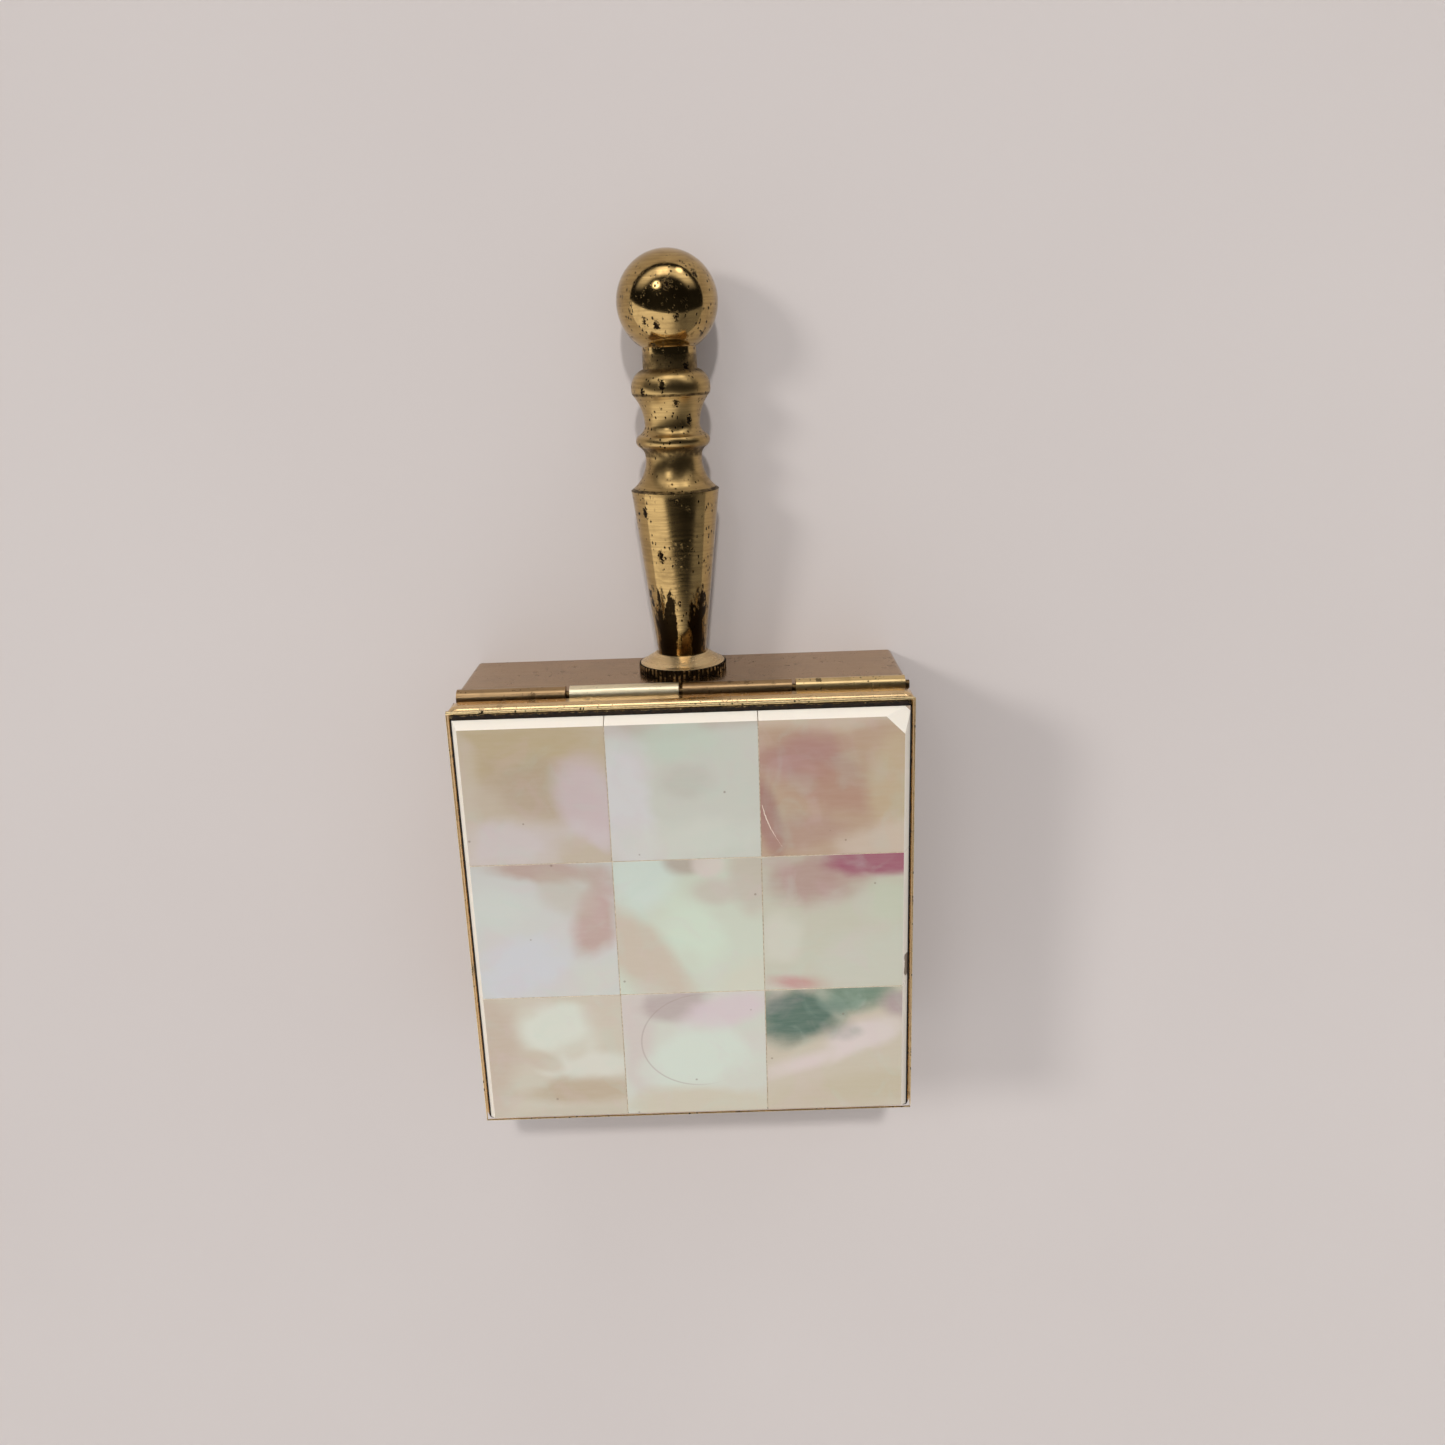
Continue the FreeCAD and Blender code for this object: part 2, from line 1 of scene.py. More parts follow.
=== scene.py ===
import math
import random
import bmesh
import bpy
from mathutils import Matrix, Vector


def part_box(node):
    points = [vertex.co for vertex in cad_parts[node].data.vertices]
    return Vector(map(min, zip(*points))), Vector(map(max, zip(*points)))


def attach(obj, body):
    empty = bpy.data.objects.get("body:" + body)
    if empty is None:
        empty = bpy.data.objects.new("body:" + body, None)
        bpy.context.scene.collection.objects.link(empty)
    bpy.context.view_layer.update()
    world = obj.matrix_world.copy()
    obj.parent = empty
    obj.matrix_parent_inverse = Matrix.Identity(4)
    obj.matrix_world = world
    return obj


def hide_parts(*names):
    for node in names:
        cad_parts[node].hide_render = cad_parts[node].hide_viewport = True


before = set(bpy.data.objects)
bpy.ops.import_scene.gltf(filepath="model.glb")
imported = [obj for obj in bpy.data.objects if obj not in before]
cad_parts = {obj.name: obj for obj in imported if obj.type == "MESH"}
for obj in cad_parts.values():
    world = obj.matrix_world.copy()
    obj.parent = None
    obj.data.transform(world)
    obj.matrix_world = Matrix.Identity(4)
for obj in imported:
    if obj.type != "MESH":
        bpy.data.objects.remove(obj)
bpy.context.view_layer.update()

# Pill crusher: a hinged brass box with nine shell tiles on its lid and a turned pestle in its rear wall.
# Metres, in the row frame: +Z up through the lid, +Y from the hinge along the pestle, +X along the hinge.

MM = 0.001


def colour(red, green, blue):
    """A display colour, 0 to 255, as the linear RGBA that the shaders use."""
    def linear(value):
        value /= 255
        return value / 12.92 if value <= 0.04045 else ((value + 0.055) / 1.055) ** 2.4
    return (linear(red), linear(green), linear(blue), 1.0)


# ---- camera ---------------------------------------------------------------------------------------------

CAMERA_TARGET = Vector((0.0039, 0.0205, 0.018))
CAMERA_DISTANCE = 0.11616
CAMERA_AZIMUTH = math.radians(179.23)
CAMERA_ELEVATION = math.radians(72.75)
CAMERA_ROLL = math.radians(-1.98)
CAMERA_LENS = 31.14
CAMERA_SENSOR = 36.0
CAMERA_NEAR = 1 * MM


def make_camera():
    """A camera high above the pestle's end, turned so that the pestle points up the picture."""
    data = bpy.data.cameras.new("camera")
    data.lens = CAMERA_LENS
    data.sensor_width = CAMERA_SENSOR
    data.clip_start = CAMERA_NEAR
    camera = bpy.data.objects.new("camera", data)
    bpy.context.scene.collection.objects.link(camera)
    back = Vector((math.sin(CAMERA_AZIMUTH) * math.cos(CAMERA_ELEVATION),
                   -math.cos(CAMERA_AZIMUTH) * math.cos(CAMERA_ELEVATION),
                   math.sin(CAMERA_ELEVATION)))
    right = Vector((0, 1, 0)).cross(back).normalized()
    right = Matrix.Rotation(CAMERA_ROLL, 3, back) @ right
    up = back.cross(right)
    turn = Matrix((right, up, back)).transposed().to_4x4()
    camera.matrix_world = Matrix.Translation(CAMERA_TARGET + back * CAMERA_DISTANCE) @ turn
    bpy.context.scene.camera = camera
    bpy.context.scene.view_settings.view_transform = "Standard"


# ---- node helpers ---------------------------------------------------------------------------------------

class Nodes:
    """Short calls for the nodes of one shader tree."""

    def __init__(self, tree):
        self.nodes = tree.nodes
        self.links = tree.links

    def feed(self, socket, source):
        """Link a source to an input, or set the input when the source is a plain value."""
        if isinstance(source, (int, float, tuple)):
            socket.default_value = source
        else:
            self.links.new(source, socket)

    def math(self, kind, first, second=0.0, third=0.0, clamp=False):
        """One operation on up to three sources; clamp keeps the result between 0 and 1."""
        node = self.nodes.new("ShaderNodeMath")
        node.operation = kind
        node.use_clamp = clamp
        for socket, source in zip(node.inputs, (first, second, third)):
            self.feed(socket, source)
        return node.outputs[0]

    def plus(self, first, second, clamp=False):
        return self.math("ADD", first, second, clamp=clamp)

    def times(self, first, second, clamp=False):
        return self.math("MULTIPLY", first, second, clamp=clamp)

    def band(self, source, low, high, to_low=0.0, to_high=1.0):
        """A smooth step from to_low to to_high while the source goes from low to high."""
        node = self.nodes.new("ShaderNodeMapRange")
        node.interpolation_type = "SMOOTHSTEP"
        for socket, value in zip(node.inputs[1:5], (low, high, to_low, to_high)):
            socket.default_value = value
        self.links.new(source, node.inputs[0])
        return node.outputs[0]

    def mix(self, factor, first, second):
        """The first colour where the factor is 0, and the second where it is 1."""
        node = self.nodes.new("ShaderNodeMix")
        node.data_type = "RGBA"
        self.feed(node.inputs["Factor"], factor)
        self.feed(node.inputs[6], first)
        self.feed(node.inputs[7], second)
        return node.outputs[2]

    def axes(self, source):
        """The X, Y and Z of a vector."""
        node = self.nodes.new("ShaderNodeSeparateXYZ")
        self.links.new(source, node.inputs[0])
        return node.outputs


class Shader(Nodes):
    """A Principled material, and short calls for what paints and textures it.

    Any other socket is set by its name, with _ for each space in it.
    """

    def __init__(self, name, roughness, metallic=0.0, **constants):
        self.material = bpy.data.materials.new(name)
        self.material.use_nodes = True
        super().__init__(self.material.node_tree)
        self.principled = self.nodes["Principled BSDF"]
        self.principled.inputs["Roughness"].default_value = roughness
        self.principled.inputs["Metallic"].default_value = metallic
        for socket, value in constants.items():
            self.principled.inputs[socket.replace("_", " ")].default_value = value
        self.place = self.nodes.new("ShaderNodeTexCoord").outputs["Object"]

    def stretched(self, scale=(1, 1, 1), shift=(0, 0, 0), turn=0.0):
        """The place on the piece, scaled along each axis, shifted, and turned about Z."""
        node = self.nodes.new("ShaderNodeMapping")
        node.inputs["Location"].default_value = shift
        node.inputs["Rotation"].default_value = (0, 0, turn)
        node.inputs["Scale"].default_value = scale
        self.links.new(self.place, node.inputs["Vector"])
        return node.outputs["Vector"]

    def noise(self, scale, detail, rough, stretch=(1, 1, 1), shift=(0, 0, 0), twist=0.0, turn=0.0):
        """Fractal noise; scale is in features per metre."""
        node = self.nodes.new("ShaderNodeTexNoise")
        node.inputs["Scale"].default_value = scale
        node.inputs["Detail"].default_value = detail
        node.inputs["Roughness"].default_value = rough
        node.inputs["Distortion"].default_value = twist
        self.links.new(self.stretched(stretch, shift, turn), node.inputs["Vector"])
        return node.outputs["Fac"]

    def cells(self, scale, stretch=(1, 1, 1), shift=(0, 0, 0)):
        """Distance to the nearest of many scattered points; scale is in points per metre."""
        node = self.nodes.new("ShaderNodeTexVoronoi")
        node.inputs["Scale"].default_value = scale
        self.links.new(self.stretched(stretch, shift), node.inputs["Vector"])
        return node.outputs["Distance"]

    def facing(self):
        """The surface's own direction, as X, Y and Z in the piece's frame."""
        return self.axes(self.nodes.new("ShaderNodeTexCoord").outputs["Normal"])

    def paint(self, source):
        """Give the surface its colour."""
        self.feed(self.principled.inputs["Base Color"], source)

    def gloss(self, source):
        """Give the surface its roughness."""
        self.links.new(source, self.principled.inputs["Roughness"])

    def relief(self, source, height, strength=1.0, below=None):
        """Bump of a real height in metres, on top of another bump."""
        node = self.nodes.new("ShaderNodeBump")
        node.inputs["Strength"].default_value = strength
        node.inputs["Distance"].default_value = height
        self.links.new(source, node.inputs["Height"])
        if below is not None:
            self.links.new(below, node.inputs["Normal"])
        self.links.new(node.outputs["Normal"], self.principled.inputs["Normal"])
        return node.outputs["Normal"]


# ---- brass ----------------------------------------------------------------------------------------------

# marks per metre, on all the brass
MOTTLE_SCALE = 420
CLOUD_SCALE = 110
CLUSTER_SCALE = 260
LARGE_PIT_SCALE = 620
SMALL_PIT_SCALE = 2300
FRAY_SCALE = 5200
PIT_DEPTH = 0.02 * MM
PIT_DULLNESS = 0.3
PIT_BLACK = colour(30, 21, 12)
# how deep the brushing would be at a roughness of 1 and this many scratches per metre
SCRATCH_DEPTH = 0.03 * MM
SCRATCH_SCALE = 4000


def pit_spots(shader, amount):
    """Corrosion pits: a cloud decides where they cluster, and finer noise frays their edges."""
    fray = shader.band(shader.noise(FRAY_SCALE, 3, 0.6), 0.3, 0.7, -0.09, 0.09)
    cluster = shader.band(shader.noise(CLUSTER_SCALE, 2, 0.5, shift=(0.01, 0.02, 0.0)), 0.38, 0.56)
    small = shader.plus(shader.cells(SMALL_PIT_SCALE, (1.0, 0.6, 1.0)), fray)
    large = shader.plus(shader.cells(LARGE_PIT_SCALE, (1.0, 0.5, 1.0), (0.003, 0.0, 0.001)), fray)
    spots = shader.math("MAXIMUM", shader.band(small, 0.14, 0.26, 1.0, 0.0),
                        shader.band(large, 0.14, 0.2, 1.0, 0.0))
    return shader.times(shader.times(spots, cluster), amount, clamp=True)


def brass(name, bright, aged, roughness, grain, grain_scale, pits, tarnish, brush=0.35, stain=None,
          polish=None):
    """Old brass: brushing along the grain, mottled tarnish, black corrosion pits.

    grain_scale is in scratches per metre; pits, tarnish and brush are amounts from 0 to 1. stain(shader)
    paints extra dirt, and polish(shader) adds to the roughness.
    """
    shader = Shader(name, roughness, metallic=1.0)
    mottle = shader.noise(MOTTLE_SCALE, 6, 0.62, twist=0.6)
    cloud = shader.noise(CLOUD_SCALE, 3, 0.5)
    wear = shader.times(shader.band(mottle, 0.42, 0.72), shader.band(cloud, 0.35, 0.7))
    base = shader.mix(shader.times(wear, tarnish), bright, aged)
    brushing = shader.noise(grain_scale, 3, 0.6, grain)
    base = shader.mix(shader.band(brushing, 0.3, 0.7, 0.0, brush), base, aged)

    spots = pit_spots(shader, pits)
    if stain:
        spots = shader.math("MAXIMUM", spots, stain(shader))
    shader.paint(shader.mix(spots, base, PIT_BLACK))

    rough = shader.band(brushing, 0.25, 0.75, roughness - 0.03, roughness + 0.05)
    if polish:
        rough = shader.plus(rough, polish(shader))
    shader.gloss(shader.plus(rough, shader.times(spots, PIT_DULLNESS), clamp=True))
    scratches = shader.relief(brushing, SCRATCH_DEPTH * roughness * SCRATCH_SCALE / grain_scale, 0.5)
    shader.relief(spots, -PIT_DEPTH, 0.6, scratches)
    return shader.material


def pestle_station(shader):
    """How far along the pestle a point lies, from the rear face."""
    return shader.math("SUBTRACT", shader.axes(shader.place)[1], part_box("base_pan")[1][1])


# stations along the pestle between which the duller waist begins, and between which it ends
WAIST_BEGINS = (17.6 * MM, 18.6 * MM)
WAIST_ENDS = (29.6 * MM, 31.2 * MM)
WAIST_DULLNESS = 0.19


def pestle_polish(shader):
    """The ball and the taper are well polished, and the turned waist between them is duller."""
    station = pestle_station(shader)
    waist = shader.times(shader.band(station, *WAIST_BEGINS), shader.band(station, *WAIST_ENDS, 1.0, 0.0))
    return shader.times(waist, WAIST_DULLNESS)


# the stain at the foot of the taper: the stations between which it fades, and how far its edge wanders
STAIN_FADES = (7.0 * MM, 7.7 * MM)
STAIN_WANDERS = 1.9 * MM
# the bare tongue in it, right of the middle: its place, and how far from there the stain begins
TONGUE_MIDDLE = 0.35 * MM
TONGUE_EDGE = (0.5 * MM, 0.72 * MM)
# (middle, half width, strength) of each dirty band along the pestle, in mm
DIRTY_BANDS = ((18.3, 0.14, 0.9), (21.9, 0.5, 0.75), (27.25, 0.14, 0.85), (30.1, 1.0, 0.65))


def pestle_stain(shader):
    """Black oxide: two ragged tongues up the foot of the taper, and dirt in the neck and the grooves."""
    x = shader.axes(shader.place)[0]
    station = pestle_station(shader)
    ragged = shader.band(shader.noise(1100, 5, 0.7, (1.0, 0.4, 1.0)), 0.3, 0.7, -STAIN_WANDERS, STAIN_WANDERS)
    foot = shader.band(shader.plus(station, ragged), *STAIN_FADES, 0.96, 0.0)
    across = shader.math("ABSOLUTE", shader.plus(x, -TONGUE_MIDDLE))
    across = shader.plus(across, shader.times(ragged, 0.12))
    foot = shader.times(foot, shader.band(across, *TONGUE_EDGE))
    # the flanks, which face sideways, are nearly bare
    flank = shader.plus(shader.math("ABSOLUTE", shader.facing()[0]), shader.times(ragged, 60.0))
    dirt = shader.times(foot, shader.band(flank, 0.8, 0.92, 1.0, 0.15))
    fleck = shader.band(shader.noise(1500, 4, 0.6), 0.3, 0.62, 0.35, 1.0)
    for middle, half, strength in DIRTY_BANDS:
        off = shader.math("ABSOLUTE", shader.math("SUBTRACT", station, middle * MM))
        ring = shader.band(off, half * 0.6 * MM, half * 1.2 * MM, strength, 0.0)
        dirt = shader.math("MAXIMUM", dirt, shader.times(ring, fleck))
    return dirt


# how far in from the collar's edge the dirt begins and is full, and the rubbed crests begin and are bare
REED_DIRT_FULL = 0.14 * MM
REED_DIRT_BEGINS = 0.2 * MM
CREST_BEGINS = 0.04 * MM
CREST_BARE = 0.01 * MM


def collar_stain(shader):
    """Dirt packed between the reeds, with their crests rubbed bare."""
    x, _, z = shader.axes(shader.place)
    low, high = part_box("collar")
    drop = shader.math("SUBTRACT", z, (low[2] + high[2]) / 2)
    away = shader.math("SQRT", shader.plus(shader.times(x, x), shader.times(drop, drop)))
    edge = high[0]
    packed = shader.band(away, edge - REED_DIRT_BEGINS, edge - REED_DIRT_FULL)
    rubbed = shader.band(shader.noise(1400, 3, 0.6), 0.46, 0.6, 1.0, 0.2)
    bare = shader.math("MAXIMUM", shader.band(away, edge - CREST_BEGINS, edge - CREST_BARE, 1.0, 0.0), rubbed)
    return shader.times(shader.times(packed, bare), 0.97)


def make_brass():
    """Every brass on the object: (bright colour, aged colour, roughness, grain, scratches, pits, tarnish)."""
    along_x = (0.02, 1.0, 1.0)
    around_y = (0.06, 1.0, 0.06)
    even = (1.0, 1.0, 1.0)
    return {
        "base": brass("brass_base", colour(172, 138, 94), colour(134, 106, 72), 0.22, along_x, 9000, 0.3, 0.4,
                      brush=0.12),
        # the lid's brass is the base's brass made lighter: a painted highlight on the lid's rim and rear face
        "lid": brass("brass_lid_painted_highlight", colour(232, 200, 150), colour(176, 146, 100), 0.24, along_x, 9000, 0.42,
                     0.4, brush=0.15),
        "turned": brass("brass_turned", colour(192, 162, 106), colour(112, 88, 54), 0.11, around_y, 4200, 1.0,
                        0.6, stain=pestle_stain, polish=pestle_polish),
        "collar": brass("brass_collar", colour(240, 212, 160), colour(156, 126, 82), 0.27, around_y, 4200,
                        0.5, 0.4, brush=0.3, stain=collar_stain),
        "gilt": brass("gilt_liner", colour(216, 196, 152), colour(186, 164, 120), 0.26, even, 8000, 0.1, 0.25,
                      brush=0.15),
        "brown_knuckle": brass("brass_knuckle_brown", colour(176, 146, 106), colour(120, 94, 62), 0.3,
                               along_x, 9000, 0.5, 0.5, brush=0.25),
        # pale and gold: the brass made lighter, painted highlights on knuckles 2 and 4; the gold also goes on
        # the rivets
        "pale_knuckle": brass("brass_knuckle_painted_highlight", colour(252, 240, 206), colour(222, 200, 150), 0.36,
                              along_x, 9000, 0.15, 0.3, brush=0.25),
        "gold_knuckle": brass("brass_knuckle_gold_highlight", colour(228, 200, 144), colour(150, 120, 74), 0.3, along_x,
                              7000, 0.7, 0.5, brush=0.3),
        "pin": brass("brass_pin", colour(120, 98, 66), colour(70, 54, 34), 0.35, even, 6000, 0.6, 0.5),
        # the bead's brass: partly burnished wear, partly a painted highlight along the lid's rim
        "worn": brass("brass_worn_and_highlight", colour(250, 226, 172), colour(160, 126, 78), 0.3, even, 4200, 1.0, 0.4),
    }


def make_steel():
    """Spring steel with a fine grain up its leaf and patches of rust."""
    shader = Shader("spring_steel", 0.32, metallic=1.0)
    grain = shader.noise(5000, 3, 0.6, (1.0, 1.0, 0.05))
    rust = shader.band(shader.noise(500, 5, 0.6), 0.6, 0.8, 0.0, 0.5)
    plain = shader.mix(shader.band(grain, 0.3, 0.7), colour(150, 150, 148), colour(122, 122, 121))
    shader.paint(shader.mix(rust, plain, colour(108, 76, 52)))
    shader.relief(grain, 0.004 * MM, 0.5)
    return shader.material


def make_cement(name, light, dark, roughness=0.75):
    """Old cement, and packed dirt that is also painted shade: crumbly and mottled."""
    shader = Shader(name, roughness)
    crumbs = shader.noise(3200, 6, 0.7)
    shader.paint(shader.mix(shader.band(crumbs, 0.35, 0.65), dark, light))
    shader.relief(crumbs, 0.03 * MM, 0.8)
    return shader.material


# ---- shell ----------------------------------------------------------------------------------------------

# Each tile is cut from its own piece of shell: its ground colour, the lean of its growth bands in radians,
# and its zones. A zone is (x, y, length, width, turn, colour, strength): x and y run from -1 to 1 across the
# tile, towards +X and +Y.
TILE_LOOKS = {
    "tile_1_1": ((196, 183, 163), 0.2, (
        (-0.1, 0.7, 1.6, 0.5, 3, (188, 171, 137), 0.85), (0.1, 0.05, 0.7, 0.45, -20, (182, 163, 140), 0.7),
        (0.75, -0.1, 0.4, 0.75, 8, (205, 189, 191), 0.85), (-0.35, -0.7, 1.2, 0.35, 0, (208, 199, 198), 0.85),
        (-0.95, 0.0, 0.25, 1.0, 0, (202, 191, 174), 0.6))),
    "tile_1_2": ((203, 205, 194), -0.5, (
        (0.0, 0.95, 1.6, 0.25, 3, (190, 178, 166), 0.85), (0.1, 0.65, 0.7, 0.35, -8, (197, 207, 192), 0.75),
        (0.0, 0.1, 0.45, 0.3, 20, (192, 189, 178), 0.6), (-0.75, -0.1, 0.4, 1.0, 10, (213, 212, 212), 0.85),
        (0.3, -0.7, 1.1, 0.4, 0, (211, 214, 203), 0.7))),
    "tile_1_3": ((187, 162, 139), 0.5, (
        (0.0, 0.95, 1.6, 0.25, 0, (206, 190, 170), 0.8), (-0.45, 0.42, 0.66, 0.42, -8, (174, 134, 127), 0.85),
        (0.05, -0.05, 0.7, 0.4, -10, (178, 141, 124), 0.7), (0.78, 0.1, 0.4, 1.0, 0, (195, 177, 147), 0.85),
        (-0.9, -0.5, 0.2, 0.6, 15, (162, 118, 112), 0.8), (-0.4, -0.65, 0.7, 0.3, 0, (178, 147, 134), 0.6),
        (0.6, -0.85, 0.9, 0.3, 6, (206, 191, 174), 0.8))),
    "tile_2_1": ((201, 202, 196), 0.7, (
        (0.0, 0.92, 1.0, 0.22, -4, (184, 160, 148), 0.9), (0.75, 0.15, 0.32, 0.65, -15, (184, 155, 144), 0.9),
        (0.35, 0.55, 0.5, 0.35, -30, (189, 179, 162), 0.5),
        (-0.3, -0.55, 0.7, 0.5, 25, (201, 203, 209), 0.75),
        (-0.6, 0.4, 0.6, 0.4, 0, (203, 210, 201), 0.6), (0.75, -0.75, 0.5, 0.35, 20, (205, 205, 193), 0.6))),
    "tile_2_2": ((201, 208, 190), -0.6, (
        (-0.6, 0.75, 0.55, 0.5, -50, (205, 218, 209), 0.8),
        (-0.05, 0.98, 0.28, 0.22, 0, (176, 163, 150), 0.85),
        (0.28, 0.92, 0.22, 0.2, 0, (213, 203, 194), 0.85), (0.85, 0.75, 0.3, 0.6, 0, (193, 181, 166), 0.75),
        (0.3, 0.5, 0.4, 0.22, 0, (194, 183, 170), 0.65), (-0.6, -0.5, 1.1, 0.38, -50, (197, 180, 161), 0.85),
        (0.1, -0.1, 0.4, 0.9, 25, (205, 220, 200), 0.8), (0.75, -0.8, 0.5, 0.35, 20, (207, 203, 184), 0.6))),
    "tile_2_3": ((195, 194, 175), 0.3, (
        (-0.5, 0.7, 0.6, 0.5, 0, (178, 149, 139), 0.9), (0.15, 0.6, 0.4, 0.35, 20, (178, 147, 138), 0.7),
        (0.5, 0.9, 0.75, 0.24, -4, (160, 98, 114), 0.97), (0.6, 0.3, 0.55, 0.35, 0, (195, 201, 180), 0.8),
        (-0.75, -0.2, 0.35, 0.5, 0, (208, 207, 192), 0.7), (-0.6, -0.9, 0.5, 0.17, -8, (188, 136, 126), 0.92),
        (0.5, -0.6, 0.8, 0.5, 0, (197, 199, 184), 0.6))),
    "tile_3_1": ((199, 191, 172), -0.3, (
        (-0.85, 0.0, 0.45, 1.3, 0, (190, 173, 154), 0.88), (0.15, 0.5, 0.6, 0.5, -10, (214, 219, 205), 0.85),
        (0.5, -0.12, 0.7, 0.25, 5, (214, 214, 201), 0.8), (-0.15, 0.0, 0.3, 0.15, -20, (190, 175, 152), 0.6),
        (0.75, 0.75, 0.3, 0.4, -30, (199, 187, 169), 0.6), (0.2, -0.52, 1.1, 0.24, 2, (182, 164, 137), 0.9),
        (0.0, -0.92, 1.4, 0.2, 0, (190, 182, 160), 0.7))),
    "tile_3_2": ((203, 205, 192), 0.6, (
        (-0.8, 0.4, 0.3, 1.0, 0, (202, 189, 183), 0.75), (-0.25, 0.82, 0.5, 0.28, 8, (176, 160, 156), 0.88),
        (0.5, 0.7, 0.7, 0.3, 15, (208, 193, 196), 0.88), (0.1, 0.0, 0.9, 0.5, 5, (207, 218, 204), 0.85),
        (0.0, -0.8, 1.6, 0.28, 0, (199, 190, 167), 0.85))),
    "tile_3_3": ((197, 187, 166), -0.4, (
        (0.35, 0.25, 0.9, 0.3, 22, (214, 203, 198), 0.85),
        (-0.4, -0.15, 1.0, 0.22, 18, (216, 203, 198), 0.85),
        (0.2, 0.86, 0.95, 0.36, 6, (100, 128, 106), 0.97), (-0.5, 0.58, 0.8, 0.55, 10, (64, 98, 80), 1.0),
        (0.9, 0.74, 0.4, 0.3, 0, (166, 146, 146), 0.85), (0.2, -0.62, 1.5, 0.35, 5, (191, 180, 153), 0.85))),
}
# the faint rim of an old growth layer, as (x, y, length, width, turn), and a chip out of the ground edge
LAYER_RIMS = {"tile_3_2": (0.1, 0.25, 0.85, 0.72, 5)}
EDGE_CHIPS = {"tile_2_3": (1.0, -0.72, 0.06, 0.22, 0)}
RIM_BROWN = colour(164, 148, 140)
CHIP_BROWN = colour(104, 80, 56)
BAND_PALE = colour(220, 212, 198)
DRIFT_PINK = colour(210, 184, 190)
DRIFT_GREEN = colour(188, 210, 194)
SPECK_BROWN = colour(120, 100, 84)
# the chalky shell edge: partly its own colour, partly a painted highlight on the tiles' bevels
EDGE_CHALK_AND_HIGHLIGHT = colour(253, 246, 232)


